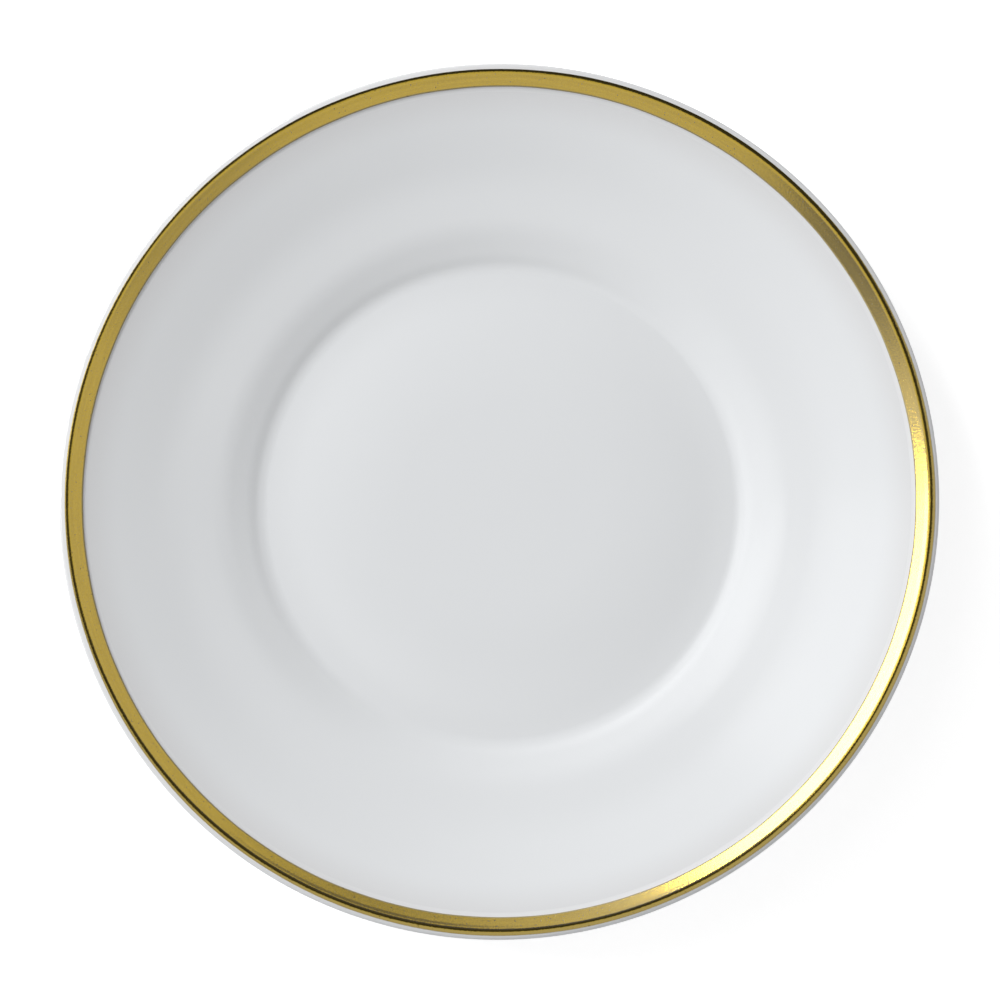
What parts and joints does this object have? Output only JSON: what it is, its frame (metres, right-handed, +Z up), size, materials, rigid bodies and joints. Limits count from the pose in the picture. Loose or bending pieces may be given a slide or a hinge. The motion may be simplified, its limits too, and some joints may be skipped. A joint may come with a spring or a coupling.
{
  "type": "dinner plate",
  "caption": "Round white china dinner plate with a shallow well, a broad rising rim, a rounded lip with a burnished gold band, and a bare foot ring it stands on.",
  "frame": {"origin": "centre of the circle on which the foot ring stands, at table height", "axes": "+Z up along the axis of the plate, through the middle of the face; X and Y in the plane of the table"},
  "size_m": [0.27, 0.27, 0.0241],
  "materials": {
    "biscuit": "fired china, bare and ground smooth on the standing face",
    "glaze": "white glossy glaze",
    "gold": "burnished fired gold, brushed on by hand"
  },
  "bodies": {
    "root": {"china_body": "biscuit", "glaze_coat": "glaze", "base_glaze": "glaze", "gold_band": "gold"}
  },
  "joints": []
}
